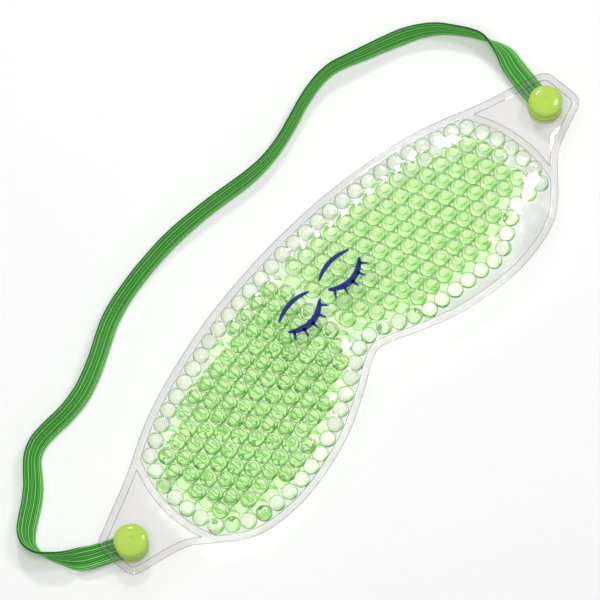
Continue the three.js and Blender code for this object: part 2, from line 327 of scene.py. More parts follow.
def plastic(name, colour):
    material, nodes, links, shader = new_material(name)
    shader.inputs["Roughness"].default_value = 0.07
    shader.inputs["Subsurface Weight"].default_value = 0.15
    shader.inputs["Subsurface Radius"].default_value = (0.002, 0.003, 0.0008)
    mottle(nodes, links, shader, noise_node(nodes, 220, 4), [0.94 * c for c in colour], colour)
    return material


def elastic_material():
    """Ribbed elastic: cords along its length, each in its own tone, bound by fine cross threads, with painted
    shade in the grooves between the cords.
    """
    material, nodes, links, shader = new_material("green_elastic")
    shader.inputs["Roughness"].default_value = 0.8
    shader.inputs["Sheen Weight"].default_value = 0.12
    shader.inputs["Sheen Roughness"].default_value = 0.4
    shader.inputs["Sheen Tint"].default_value = (0.6, 1, 0.5, 1)
    uv = nodes.new("ShaderNodeUVMap")
    uv.uv_map = "weave"
    threads = nodes.new("ShaderNodeTexWave")
    threads.wave_type = "BANDS"
    threads.bands_direction = "Y"
    threads.inputs["Scale"].default_value = 0.9
    threads.inputs["Distortion"].default_value = 0.6
    threads.inputs["Detail"].default_value = 2
    # the groove colour is painted shade between the cords
    groove_shade, middle, crest = (0.008, 0.09, 0.013), (0.058, 0.35, 0.043), (0.32, 0.88, 0.22)
    ramp = ramp_node(nodes, (0, groove_shade), (0.55, middle), (1, crest))
    blend = nodes.new("ShaderNodeMath")
    blend.operation = "MULTIPLY_ADD"
    blend.inputs[1].default_value = 0.12
    links.new(uv.outputs["UV"], threads.inputs["Vector"])
    links.new(threads.outputs["Fac"], blend.inputs[0])
    links.new(attribute_value(nodes, "rib"), blend.inputs[2])
    links.new(blend.outputs["Value"], ramp.inputs["Fac"])
    links.new(ramp.outputs["Color"], shader.inputs["Base Color"])
    bump = bump_node(nodes, 0.5, 0.0002)
    links.new(threads.outputs["Fac"], bump.inputs["Height"])
    links.new(bump.outputs["Normal"], shader.inputs["Normal"])
    return material


def ink_material():
    material, nodes, links, shader = new_material("navy_ink")
    shader.inputs["Roughness"].default_value = 0.35
    mottle(nodes, links, shader, noise_node(nodes, 900, 2), (0.003, 0.012, 0.16), (0.004, 0.018, 0.24))
    return material


FILM_MATERIAL = see_through("clear_film", (0.987, 0.983, 0.986), 0.03, 0.12)
WELD_MATERIAL = see_through("film_weld", (0.8, 0.8, 0.805), 0.12, 0.05)
GEL_MATERIAL = gel(
    "gel_bead", pale=(0.962, 0.974, 0.924), rim=(0.26, 0.6, 0.16), edge=(0.35, 0.7, 0.26),
    shadow=(0.962, 0.985, 0.935),
)
LIME_MATERIAL = plastic("lime_plastic", (0.5, 0.73, 0.11))
ELASTIC_MATERIAL = elastic_material()
INK_MATERIAL = ink_material()

# -------------------- strap
# The free strap from the right tab to the left one: x, y in millimetres, its turn in degrees about its own
# length from lying flat, and how far it is held above the surface.
STRAP_ROUTE = [
    [111.6, 12, 0, 2.1], [112.7, 17, 8, 1.9], [114.3, 22, 25, 1.2], [114.6, 27, 52, 0.4],
    [113.9, 32.5, 80, 0], [111.9, 37.4, 88, 0], [108.4, 43, 92, 0], [105, 47.2, 99, 0],
    [100.2, 51.1, 106, 0], [94.4, 54.4, 112, 0], [88.1, 57.2, 110, 0], [81.7, 59.8, 106, 0],
    [74.6, 62.8, 100, 0], [68.5, 64.8, 101, 0], [61.5, 65.1, 104, 0], [52.6, 63.7, 106, 0],
    [44, 61.4, 107, 0], [34.5, 59.3, 106, 0], [25.4, 58.6, 107, 0], [16.5, 59.3, 111, 0],
    [7.6, 60.9, 112, 0], [-2.5, 62.5, 113, 0], [-16.9, 63.8, 118, 0], [-31.2, 63.4, 120, 0],
    [-42.8, 62, 122, 0], [-52.4, 59.8, 128, 0], [-59.5, 56.9, 131, 0], [-66.6, 53.5, 131, 0],
    [-73.7, 50.6, 131, 0], [-80.8, 48.5, 130, 0], [-88.7, 47.7, 127, 0], [-97.4, 48, 126, 0],
    [-103.4, 47.7, 129, 0], [-108.4, 45.6, 133, 0], [-112.5, 41.8, 141, 0], [-116.3, 38, 144, 0],
    [-120.9, 34.6, 143, 0], [-125.9, 31.6, 142, 0], [-129.9, 28.8, 138, 0], [-132.4, 25.2, 126, 0],
    [-132.6, 21, 110, 0], [-130.9, 16.8, 92, 0.1], [-128.6, 13, 74, 0.3], [-126, 9.7, 45, 0.9],
    [-123, 7.2, 15, 1.8], [-119.9, 5.4, 0, 2.1],
]
STRAP_TAIL = 5.2  # past the middle of the snap
STRAP_TAPER = 4.5 * MM  # the stretch at each end where the strap narrows
STRAP_STEP = 0.8 * MM
RIBS = 11
RIB_POINTS = 6
RIB_HEIGHT = 0.3 * MM
RIB_TONES = np.array([0.8, 0.54, 0.97, 0.56, 0.76, 0.58, 0.93, 0.54, 0.74, 1.0, 0.84])


def strap_route():
    """The strap's middle line from tail to tail, as rows of x, y, turn and lift, in millimetres."""
    snap = np.array(SNAP) / MM
    ends = []
    for side, exit_row in ((1, STRAP_ROUTE[0]), (-1, STRAP_ROUTE[-1])):
        at = np.array([side * snap[0], snap[1]])
        along = np.array(exit_row[:2]) - at
        along /= np.hypot(*along)
        ends.append([[*(at - along * STRAP_TAIL), 0, 2.1], [*at, 0, 2.1], [*(at + along * 6), 0, 2.1]])
    return np.array(ends[0] + STRAP_ROUTE + ends[1][::-1], float)


def smooth_path(rows, step):
    """A Catmull-Rom curve through the rows, sampled about evenly."""
    padded = np.vstack([2 * rows[0] - rows[1], rows, 2 * rows[-1] - rows[-2]])
    samples = []
    for i in range(1, len(padded) - 2):
        p0, p1, p2, p3 = padded[i - 1:i + 3]
        count = max(2, int(np.hypot(*(p2 - p1)[:2]) / step))
        for t in np.arange(count) / count:
            samples.append(0.5 * (
                2 * p1 + (p2 - p0) * t + (2 * p0 - 5 * p1 + 4 * p2 - p3) * t ** 2
                + (3 * p1 - p0 - 3 * p2 + p3) * t ** 3
            ))
    samples.append(rows[-1])
    return np.array(samples)


def strap_axes(rows):
    """The strap's middle, and the directions across its width and through its thickness, at each row."""
    turn = np.radians(rows[:, 2])
    middle = np.zeros((len(rows), 3))
    middle[:, :2] = rows[:, :2] * MM
    middle[:, 2] = (
        rows[:, 3] * MM + STRAP_WIDTH / 2 * np.sin(turn) + STRAP_THICK / 2 * np.abs(np.cos(turn))
    )
    along = np.gradient(middle, axis=0)
    along /= np.linalg.norm(along, axis=1, keepdims=True)
    flat = np.stack([along[:, 1], -along[:, 0], np.zeros(len(rows))], 1)
    flat /= np.linalg.norm(flat, axis=1, keepdims=True)
    across = flat * np.cos(turn)[:, None]
    across[:, 2] = -np.sin(turn)
    across -= along * np.sum(across * along, 1, keepdims=True)
    across /= np.linalg.norm(across, axis=1, keepdims=True)
    return middle, across, np.cross(across, along)


def ribbed_section():
    """One ring of the ribbed section, over the top face from edge to edge and back underneath.

    Returns each point's place across the strap from -1 to 1, its height and its tone, which falls to 0 in the
    grooves as painted shade.
    """
    u = np.linspace(-1, 1, RIBS * RIB_POINTS + 1)
    crest = np.abs(np.sin(np.pi * RIBS * (u + 1) / 2))
    half = STRAP_THICK / 2 - RIB_HEIGHT * (1 - crest)
    half[0] = half[-1] = STRAP_THICK * 0.28
    # painted shade: each cord's tone falls towards 0 in the grooves between the ribs
    tone = RIB_TONES[np.minimum((RIBS * (u + 1) / 2).astype(int), RIBS - 1)] * crest
    return [np.concatenate(pair) for pair in ((u, u[::-1]), (half, -half[::-1]), (tone, tone[::-1]))]


def add_strap():
    rows = smooth_path(strap_route(), STRAP_STEP / MM)
    middle, across, thick = strap_axes(rows)
    ring_u, ring_h, ring_tone_and_shade = ribbed_section()
    length = np.concatenate([[0], np.cumsum(np.linalg.norm(np.diff(middle, axis=0), axis=1))])
    wave = 1 + 0.004 * np.sin(length / (2.1 * MM))
    wave *= np.interp(np.minimum(length, length[-1] - length), [0, STRAP_TAPER], [0.5, 1])
    points = (
        middle[:, None, :]
        + across[:, None, :] * (ring_u * STRAP_WIDTH / 2)[None, :, None] * wave[:, None, None]
        + thick[:, None, :] * ring_h[None, :, None]
    )
    ring = len(ring_u)
    faces = grid_quads(len(rows), ring, wrap=True).tolist()
    obj = mesh_object("strap", points.reshape(-1, 3), faces, ELASTIC_MATERIAL)
    close_ends(obj, len(rows), ring)
    # the attribute rib carries each cord's tone with the painted shade in the grooves
    rib = obj.data.attributes.new("rib", "FLOAT", "POINT")
    rib.data.foreach_set("value", np.tile(ring_tone_and_shade, len(rows)))
    lay_weave(obj, ring_u, length)
    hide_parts("strap_right_end", "strap_loop", "strap_left_end")
    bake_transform(obj)


def lay_weave(obj, ring_u, length):
    """Lays the weave's map over the strap, in millimetres across it and along it."""
    uv = obj.data.uv_layers.new(name="weave")
    corner = np.empty(len(obj.data.loops), np.int64)
    obj.data.loops.foreach_get("vertex_index", corner)
    across_mm = np.tile(ring_u * STRAP_WIDTH / 2 / MM, len(length))
    along_mm = np.repeat(length / MM, len(ring_u))
    uv.data.foreach_set("uv", np.stack([across_mm[corner], along_mm[corner]], 1).ravel())


def close_ends(obj, rings, ring):
    """Closes the two cut ends of a banded tube with strips of quads."""
    mesh = bmesh.new()
    mesh.from_mesh(obj.data)
    mesh.verts.ensure_lookup_table()
    half = ring // 2
    for start, flip in ((0, False), ((rings - 1) * ring, True)):
        for k in range(half - 1):
            face = [start + k, start + k + 1, start + ring - 2 - k, start + ring - 1 - k]
            mesh.faces.new([mesh.verts[i] for i in (face[::-1] if flip else face)])
    bmesh.ops.recalc_face_normals(mesh, faces=mesh.faces)
    mesh.to_mesh(obj.data)
    mesh.free()


add_strap()


# -------------------- the pouch's outline
def cad_columns():
    """x, lowest y and highest y of the columns that the CAD film is made of."""
    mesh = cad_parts["back_film"].data
    points = np.empty(len(mesh.vertices) * 3)
    mesh.vertices.foreach_get("co", points)
    points = points.reshape(-1, 3)
    found = []
    for x in np.unique(points[:, 0].round(5)):
        ys = points[np.abs(points[:, 0] - x) < 2e-5][:, 1]
        if np.ptp(ys) > 9 * MM:
            found.append((x, ys.min(), ys.max()))
    return np.array(found)


COLUMNS = cad_columns()
CORNER_COLUMNS = 3
STRAIGHT = COLUMNS[CORNER_COLUMNS:-CORNER_COLUMNS]
TAB_CORNER = TAB_END - STRAIGHT[-1, 0]


def cubic(xs, ys, at):
    """A cubic through points, straight beyond the ends."""
    slope = np.gradient(ys, xs)
    i = np.clip(np.searchsorted(xs, at) - 1, 0, len(xs) - 2)
    width = xs[i + 1] - xs[i]
    t = np.clip((at - xs[i]) / width, 0, 1)
    inner = (
        (2 * t ** 3 - 3 * t ** 2 + 1) * ys[i] + (t ** 3 - 2 * t ** 2 + t) * width * slope[i]
        + (3 * t ** 2 - 2 * t ** 3) * ys[i + 1] + (t ** 3 - t ** 2) * width * slope[i + 1]
    )
    return inner + np.minimum(at - xs[0], 0) * slope[0] + np.maximum(at - xs[-1], 0) * slope[-1]


def corner_cut(x):
    """How far a tab's rounded corner cuts into its long edge."""
    past = np.clip(np.abs(x) - (TAB_END - TAB_CORNER), 0, TAB_CORNER)
    return TAB_CORNER - np.sqrt(np.maximum(TAB_CORNER ** 2 - past ** 2, 0))


def forehead_y(x):
    return cubic(STRAIGHT[:, 0], STRAIGHT[:, 2], x)


def nose_y(x):
    return cubic(STRAIGHT[:, 0], STRAIGHT[:, 1], x)


def top_y(x):
    return forehead_y(x) - corner_cut(x)


def bottom_y(x):
    return nose_y(x) + corner_cut(x)


EDGE_X = np.linspace(-TAB_END, TAB_END, 900)
EDGE = np.vstack([
    np.stack([EDGE_X, forehead_y(EDGE_X)], 1),
    np.stack([EDGE_X, nose_y(EDGE_X)], 1),
])
EDGE_TREE = kdtree.KDTree(len(EDGE))
for index, (edge_x, edge_y) in enumerate(EDGE):
    EDGE_TREE.insert((edge_x, edge_y, 0), index)
EDGE_TREE.balance()


def chamber_depth(xy):
    """How far each point is inside the bead chamber, negative outside it."""
    gap = np.array([EDGE_TREE.find((x, y, 0))[2] for x, y in xy])
    outside = (xy[:, 1] > forehead_y(xy[:, 0])) | (xy[:, 1] < nose_y(xy[:, 0]))
    gap[outside] *= -1
    beyond = np.maximum(np.abs(xy[:, 0]) - WELD_ARC[0], 0)
    weld = CHAMBER_ARC - np.hypot(beyond, xy[:, 1] - WELD_ARC[1])
    return np.minimum(gap - RIM, weld)


def bulge(depth):
    """Rises from 0 at the chamber's edge to 1 one shoulder inside it, in a quarter circle."""
    u = np.clip(depth / SHOULDER, 0, 1)
    return np.sqrt(1 - (1 - u) ** 2)


MIDDLE = np.array([0, 8 * MM])
FAR = 130 * MM  # beyond the chamber's edge on every side of its middle
HALVINGS = 24


def level_loop(depth_at, least, angle):
    """The line where a depth falls to least, found at each angle round the middle of the chamber."""
    out = np.stack([np.cos(angle), np.sin(angle)], 1)
    near, far = np.zeros(len(angle)), np.full(len(angle), FAR)
    for _ in range(HALVINGS):
        reach = (near + far) / 2
        inside = depth_at(MIDDLE + out * reach[:, None]) > least
        near, far = np.where(inside, reach, near), np.where(inside, far, reach)
    return MIDDLE + out * near[:, None]


# -------------------- beads
BEAD = 6.2 * MM  # across, before it is pressed flat where it touches its neighbours
TOUCHING = 0.98  # how far apart two beads lie, as a share of their width
SQUASH = 0.78  # how far a bead's middle lies from the film it is pressed against, as a share of its radius
WET_EDGE = 0.08 * MM  # how far a bead is pressed in where a wet patch is fully wet
LOWER_DEPTH, UPPER_DEPTH = 5.4 * MM, 7.6 * MM  # how far inside the fill each layer's rows start
RELAX_TURNS = 50
PUSH = 0.3  # the share of an overlap that one turn takes away
FLOOR_Z = FILM + 0.15 * MM
CEILING_Z = FRONT_TOP - FILM - 0.2 * MM
EDGE_DEPTH = 3.15 * MM  # of the middles of the outermost beads
# The beads lie in rows: the x of one bead, the distance to the next, how far each row lies to the side of a
# half step from the last, the row's y as a quadratic of x, the drop to the next row, and where a bead of the
# lower layer lies from one of the upper, in millimetres.
ROWS = {
    1: (47.3, 6.1, -1.0, (17.96, -0.07, -0.00065), 5.3, (1.46, 3.0)),
    -1: (-53.0, 6.2, 0.0, (14.0, 0.0, -0.000825), 5.15, (-1.64, 1.3)),
}
# The beads have slid away from the lower edge of the right lobe: the y of the lowest ones.
SLACK_X = np.array([14, 20, 29.5, 54.5, 66, 71, 83, 90]) * MM
SLACK_Y = np.array([-60, -22, -23, -27.3, -21.5, -18.8, -19.6, -60]) * MM


def fill_depth(xy):
    """How far each point is inside the space that the beads fill."""
    lowest = np.interp(xy[:, 0], SLACK_X, SLACK_Y)
    return np.minimum(chamber_depth(xy), xy[:, 1] - lowest + EDGE_DEPTH)


def row_sites(side, layer):
    start, step, drift, (top, slope, bend), drop, lower = ROWS[side]
    sites = []
    for row in range(-5, 12):
        for i in range(-20, 21):
            x = start + step * (i + 0.5 * (row % 2)) + drift * row
            y = top + slope * x + bend * x * x - drop * row
            if layer == 0:
                x, y = x + lower[0], y + lower[1]
            if side * (x + 2.2) > 2:
                sites.append((x * MM, y * MM))
    return np.array(sites)


def place_beads():
    rng = np.random.default_rng(7)
    parts, layers = [], []
    press = BEAD / 2 * SQUASH
    for layer, least, z in ((0, LOWER_DEPTH, FLOOR_Z + press), (1, UPPER_DEPTH, CEILING_Z - press)):
        for side in (1, -1):
            sites = row_sites(side, layer)
            sites = sites[fill_depth(sites) > least]
            parts.append(np.column_stack([sites, np.full(len(sites), z)]))
            layers.append(np.full(len(sites), layer))
    ring = edge_sites()
    points = np.vstack(parts + [ring])
    layers = np.concatenate(layers + [np.full(len(ring), 0.5)])
    size = BEAD / 2 * rng.uniform(0.975, 1.0, len(points))
    size[-len(ring):] *= 0.95
    points += rng.normal(0, 0.05 * MM, points.shape)
    return relax(points, size, layers)


def edge_sites():
    """One row of beads round the chamber's edge, a bead apart."""
    loop = level_loop(fill_depth, EDGE_DEPTH, np.linspace(0, 2 * np.pi, 1441))
    length = np.concatenate([[0], np.cumsum(np.hypot(*np.diff(loop, axis=0).T))])
    count = int(length[-1] / (BEAD * 0.93))
    at = np.arange(count) / count * length[-1]
    x, y = np.interp(at, length, loop[:, 0]), np.interp(at, length, loop[:, 1])
    return np.column_stack([x, y, np.full(count, SEAM_Z + 0.5 * MM)])


def relax(points, size, layers):
    """Pushes overlapping beads apart and back between the films, a little at a time.

    The two layers press flat against each other instead.
    """
    step = 0.2 * MM
    apart_layers = np.abs(layers[:, None] - layers[None, :]) > 0.9
    for _ in range(RELAX_TURNS):
        apart = points[:, None, :] - points[None, :, :]
        distance = np.sqrt((apart ** 2).sum(2)) + np.eye(len(points))
        need = (size[:, None] + size[None, :]) * TOUCHING - distance
        np.fill_diagonal(need, 0)
        need[apart_layers] = 0
        push = np.where(need > 0, need, 0) / distance
        points = points + PUSH * (apart * push[:, :, None]).sum(1)
        here = fill_depth(points[:, :2])
        right = fill_depth(points[:, :2] + [step, 0])
        up = fill_depth(points[:, :2] + [0, step])
        slope = np.stack([right - here, up - here], 1)
        slope /= np.maximum(np.linalg.norm(slope, axis=1, keepdims=True), 1e-9)
        short = np.maximum(size + 0.1 * MM - here, 0)
        points[:, :2] += slope * short[:, None]
        open_here = bulge(chamber_depth(points[:, :2]) + 1.4 * MM)
        low = SEAM_Z - (SEAM_Z - FLOOR_Z) * open_here + size * SQUASH
        high = SEAM_Z + (CEILING_Z - SEAM_Z) * open_here - size * SQUASH
        middle = (low + high) / 2
        points[:, 2] = np.clip(points[:, 2], np.minimum(low, middle), np.maximum(high, middle))
    return points, size


def sphere(segments, rings):
    """Points and faces of a unit sphere."""
    vertices = [(0, 0, 1)]
    for r in range(1, rings):
        a = math.pi * r / rings
        for s in range(segments):
            b = 2 * math.pi * s / segments
            vertices.append((math.sin(a) * math.cos(b), math.sin(a) * math.sin(b), math.cos(a)))
    vertices.append((0, 0, -1))
    last = len(vertices) - 1
    faces = [(0, 1 + s, 1 + (s + 1) % segments) for s in range(segments)]
    for r in range(rings - 2):
        for s in range(segments):
            a, b = 1 + r * segments + s, 1 + r * segments + (s + 1) % segments
            faces.append((a, a + segments, b + segments, b))
    start = 1 + (rings - 2) * segments
    faces += [(start + (s + 1) % segments, start + s, last) for s in range(segments)]
    return np.array(vertices), faces


def pressed(index):
    """One bead's points, flat where it meets its neighbours and the films, and where they are flat."""
    at, radius = BEADS[index], BEAD_SIZE[index]
    shape = UNIT * radius
    wet = np.zeros(len(UNIT))
    away = BEADS - at
    distance = np.linalg.norm(away, axis=1)
    for other in np.flatnonzero((distance > 0) & (distance < radius + BEAD_SIZE)):
        toward = away[other] / distance[other]
        face = distance[other] * radius / (radius + BEAD_SIZE[other]) - 0.015 * MM
        past = np.maximum(shape @ toward - face, 0)
        shape = shape - past[:, None] * toward
        wet = np.maximum(wet, past / WET_EDGE)
    squeezed = np.clip(shape[:, 2], FLOOR_Z - at[2], CEILING_Z - at[2])
    wet = np.clip(np.maximum(wet, np.abs(squeezed - shape[:, 2]) / WET_EDGE), 0, 1)
    shape[:, 2] = squeezed
    return shape + at, wet


def add_beads(name, chosen):
    vertices, faces, wet = [], [], []
    for index in np.flatnonzero(chosen):
        base = len(vertices) * len(UNIT)
        shape, flat = pressed(index)
        vertices.append(shape)
        wet.append(flat)
        faces += [tuple(base + i for i in face) for face in UNIT_FACES]
    obj = mesh_object(name, np.vstack(vertices), faces, GEL_MATERIAL)
    obj.data.attributes.new("wet", "FLOAT", "POINT").data.foreach_set("value", np.concatenate(wet))
    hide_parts("bead_fill")
    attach(obj, "pouch")


UNIT, UNIT_FACES = sphere(34, 22)
BEADS, BEAD_SIZE = place_beads()
on_right = BEADS[:, 0] > 0
on_top = BEADS[:, 2] > SEAM_Z
add_beads("beads_upper_right", on_top & on_right)
add_beads("beads_upper_left", on_top & ~on_right)
add_beads("beads_lower_right", ~on_top & on_right)
add_beads("beads_lower_left", ~on_top & ~on_right)

# -------------------- films
FILM_COLUMNS = 360
FILM_ROWS = 108
CLEAR = 0.12 * MM  # between a bead and the film over it
SEAM_SKIN = 0.03 * MM  # from the seam plane to each film's inner face
DRAPE_TURNS = 260
HAZE_WIDTH = 1.5 * MM  # from the chamber's edge to where the film is fully hazy
GREEN_FROM, GREEN_WIDTH = 4 * MM, 5 * MM  # inside the fill, where the back film turns green


def film_grid():
    """Points of the whole outline by column and row, closer together at the long edges."""
    x = np.linspace(-TAB_END, TAB_END, FILM_COLUMNS)
    t = np.linspace(0, 1, FILM_ROWS)
    t = 0.45 * t + 0.55 * (1 - np.cos(np.pi * t)) / 2
    low, high = bottom_y(x), top_y(x)
    grid = np.empty((FILM_COLUMNS, FILM_ROWS, 2))
    grid[:, :, 0] = x[:, None]
    grid[:, :, 1] = low[:, None] + (high - low)[:, None] * t[None, :]
    return grid


GRID = film_grid()
GRID_DEPTH = chamber_depth(GRID.reshape(-1, 2)).reshape(GRID.shape[:2])


def bead_cover(sign):
    """How far the beads stand from the seam plane on one side at each grid point, where they do."""
    reach = np.full(GRID.shape[:2], -1.0)
    for (x, y, z), radius in zip(BEADS, BEAD_SIZE):
        r = radius + CLEAR
        i0, i1 = np.searchsorted(GRID[:, 0, 0], [x - r, x + r])
        block = GRID[i0:i1]
        gap = r ** 2 - (block[:, :, 0] - x) ** 2 - (block[:, :, 1] - y) ** 2
        top = sign * (z - SEAM_Z) + np.sqrt(np.maximum(gap, 0))
        reach[i0:i1] = np.where(gap > 0, np.maximum(reach[i0:i1], top), reach[i0:i1])
    return reach


def tab_puff():
    """How far the two films stand apart in the pocket of each tab, clear of its snap."""
    x, y = np.abs(GRID[:, :, 0]), GRID[:, :, 1]
    past_weld = np.hypot(x - WELD_ARC[0], y - WELD_ARC[1]) - TAB_ARC
    edge = np.minimum(forehead_y(GRID[:, :, 0]) - y, y - nose_y(GRID[:, :, 0]))
    edge = np.minimum(edge, TAB_END - x) - RIM
    inner = np.clip(np.minimum(past_weld, edge) / (3 * MM), 0, 1)
    snap = np.clip((np.hypot(x - SNAP[0], y - SNAP[1]) - CAP_RADIUS) / (5 * MM), 0, 1)
    wave = 0.6 + 0.4 * np.sin(x / (3.1 * MM) + y / (4.3 * MM)) * np.cos(y / (3.7 * MM))
    flat = 0.5 * MM * np.sin(inner * np.pi / 2) * snap * wave
    rise = np.clip(past_weld / (7 * MM), 0, 1) * np.clip(edge / (6 * MM), 0, 1)
    full = 1.7 * MM * rise * snap * (0.85 + 0.15 * wave)
    return np.where(x > WELD_ARC[0], np.where(GRID[:, :, 0] < 0, full, flat), 0)


def draped(sign):
    """A taut film over the beads on one side: a membrane that the beads hold up, welded at the seam."""
    limit = ((FRONT_TOP - SEAM_Z) if sign > 0 else SEAM_Z) - FILM - 0.05 * MM
    obstacle = np.clip(bead_cover(sign), 0, limit)
    inside = GRID_DEPTH > 0
    height = np.where(inside, limit * bulge(GRID_DEPTH), 0)
    height = np.maximum(height, obstacle)
    dy = np.gradient(GRID[:, :, 1], axis=1)
    dx = GRID[1, 0, 0] - GRID[0, 0, 0]
    wx, wy = 1 / dx ** 2, 1 / dy ** 2
    for _ in range(DRAPE_TURNS):
        mean = height.copy()
        mean[1:-1, 1:-1] = (
            wx * (height[2:, 1:-1] + height[:-2, 1:-1])
            + wy[1:-1, 1:-1] * (height[1:-1, 2:] + height[1:-1, :-2])
        ) / (2 * wx + 2 * wy[1:-1, 1:-1])
        height = np.where(inside, np.maximum(mean, obstacle), 0)
    height = np.where(inside, height + puckers(), 0)
    return np.minimum(height, limit) + (tab_puff() if sign > 0 else 0)


def puckers():
    """Small creases that run in from the long welds, where the film is drawn in."""
    x = GRID[:, :, 0]
    crease = np.cos(np.pi * x / (8.1 * MM) + 1.3 * np.sin(x / (23 * MM))) ** 8
    return 0.24 * MM * crease * np.exp(-((GRID_DEPTH - 1.7 * MM) / (1.1 * MM)) ** 2)


def film_border():
    """The film grid's outermost points, in order round it."""
    border = (
        [(i, 0) for i in range(FILM_COLUMNS)]
        + [(FILM_COLUMNS - 1, j) for j in range(1, FILM_ROWS)]
        + [(i, FILM_ROWS - 1) for i in range(FILM_COLUMNS - 2, -1, -1)]
        + [(0, j) for j in range(FILM_ROWS - 2, 0, -1)]
    )
    return [i * FILM_ROWS + j for i, j in border]


def film_object(name, sign, node):
    """Makes one film and returns the height of its outer face over the grid."""
    offset = draped(sign)
    near = SEAM_Z + sign * SEAM_SKIN
    outer = near + sign * (offset + FILM)
    inner = near + sign * offset
    count = FILM_COLUMNS * FILM_ROWS
    plane = GRID.reshape(-1, 2)
    vertices = np.vstack([
        np.column_stack([plane, inner.ravel()]),
        np.column_stack([plane, outer.ravel()]),
    ])
    faces = grid_quads(FILM_COLUMNS, FILM_ROWS)
    ids = film_border()
    rim = [(a, b, b + count, a + count) for a, b in zip(ids, ids[1:] + ids[:1])]
    every = np.vstack([faces, faces[:, ::-1] + count, rim]).tolist()
    obj = mesh_object(name, vertices, every, FILM_MATERIAL)
    face_out(obj)
    damp = HAZE_DAMP * np.clip(chamber_depth(plane) / HAZE_WIDTH, 0, 1)
    if sign < 0:
        damp += (1 - HAZE_DAMP) * np.clip((fill_depth(plane) - GREEN_FROM) / GREEN_WIDTH, 0, 1)
    obj.data.attributes.new("damp", "FLOAT", "POINT").data.foreach_set("value", np.tile(damp, 2))
    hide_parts(node)
    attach(obj, "pouch")
    return outer


def face_out(obj):
    """Turns every face outwards."""
    mesh = bmesh.new()
    mesh.from_mesh(obj.data)
    bmesh.ops.recalc_face_normals(mesh, faces=mesh.faces)
    mesh.to_mesh(obj.data)
    mesh.free()


FRONT_SURFACE = film_object("pouch_front", 1, "front_film")
film_object("pouch_back", -1, "back_film")


# -------------------- weld lines
def outline(inset):
    """The pouch's outline as a closed loop of points, moved inwards."""
    straight = TAB_END - TAB_CORNER
    turn = np.radians(np.linspace(6, 90, 12))
    x = np.concatenate([
        -straight - TAB_CORNER * np.sin(turn[::-1]), np.linspace(-straight, straight, 420),
        straight + TAB_CORNER * np.sin(turn),
    ])
    ends = np.linspace(0, 1, 24)[1:-1]
    top, bottom = top_y(x), bottom_y(x)
    right = np.column_stack([np.full(22, x[-1]), top[-1] + (bottom[-1] - top[-1]) * ends])
    left = np.column_stack([np.full(22, x[0]), bottom[0] + (top[0] - bottom[0]) * ends])
    loop = np.vstack([
        np.column_stack([x, top]), right, np.column_stack([x, bottom])[::-1], left,
    ])
    ahead = np.roll(loop, -1, 0) - np.roll(loop, 1, 0)
    inward = np.stack([ahead[:, 1], -ahead[:, 0]], 1) / np.linalg.norm(ahead, axis=1, keepdims=True)
    return loop + inward * inset


def arc(side, radius, low, high):
    """Points of a weld arc between two heights, from the lower one up."""
    start, stop = (math.asin((y - WELD_ARC[1]) / radius) for y in (low, high))
    angle = np.linspace(start, stop, 60)
    x = side * (WELD_ARC[0] + radius * np.cos(angle))
    return np.column_stack([x, WELD_ARC[1] + radius * np.sin(angle)])


def meeting(side, radius, inset):
    """The lowest and highest y of an arc that stays inside the inset outline."""
    points = arc(side, radius, WELD_ARC[1] - 0.62 * radius, WELD_ARC[1] + 0.62 * radius)
    room = np.minimum(forehead_y(points[:, 0]) - points[:, 1], points[:, 1] - nose_y(points[:, 0]))
    kept = points[room > inset][:, 1]
    return kept.min(), kept.max()


def tab_border(side, inset, radius):
    """The closed border of a tab's pocket: the inset outline past the weld, and the weld arc."""
    loop = outline(inset)
    past = side * loop[:, 0] > WELD_ARC[0] + radius * 0.7
    past &= np.hypot(side * loop[:, 0] - WELD_ARC[0], loop[:, 1] - WELD_ARC[1]) > radius
    start = np.flatnonzero(past & ~np.roll(past, 1))[0]
    run = np.roll(loop, -start, 0)[:past.sum()]
    weld = arc(side, radius, *sorted([run[0, 1], run[-1, 1]]))
    return np.vstack([run, weld if side > 0 else weld[::-1]])


def chamber_border():
    """The closed edge of the bead chamber."""
    return level_loop(chamber_depth, 0, np.linspace(0, 2 * np.pi, 1200, endpoint=False))


def tube(line, z, radius, closed):
    """A thin round bead along a flat line at height z."""
    line = np.asarray(line)
    ahead = np.roll(line, -1, 0) - np.roll(line, 1, 0)
    if not closed:
        ahead[0], ahead[-1] = line[1] - line[0], line[-1] - line[-2]
    ahead /= np.maximum(np.linalg.norm(ahead, axis=1, keepdims=True), 1e-9)
    side = np.stack([ahead[:, 1], -ahead[:, 0]], 1)
    turn = np.linspace(0, 2 * np.pi, 8, endpoint=False)
    points = np.empty((len(line), 8, 3))
    points[:, :, :2] = line[:, None] + side[:, None] * (radius * np.cos(turn))[None, :, None]
    points[:, :, 2] = z + radius * np.sin(turn)
    return points.reshape(-1, 3), ring_faces(len(line), 8, closed)


def add_welds(name, sign, lines, material):
    """Raised lines on one film, each given as its points, its radius and whether it closes."""
    z = SEAM_Z + sign * (SEAM_SKIN + FILM)
    vertices, faces, count = [], [], 0
    for line, radius, closed in lines:
        points, quads = tube(line, z, radius * MM, closed)
        vertices.append(points)
        faces += [tuple(count + i for i in face) for face in quads]
        count += len(points)
    obj = mesh_object(name, np.vstack(vertices), faces, material)
    face_out(obj)
    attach(obj, "pouch")


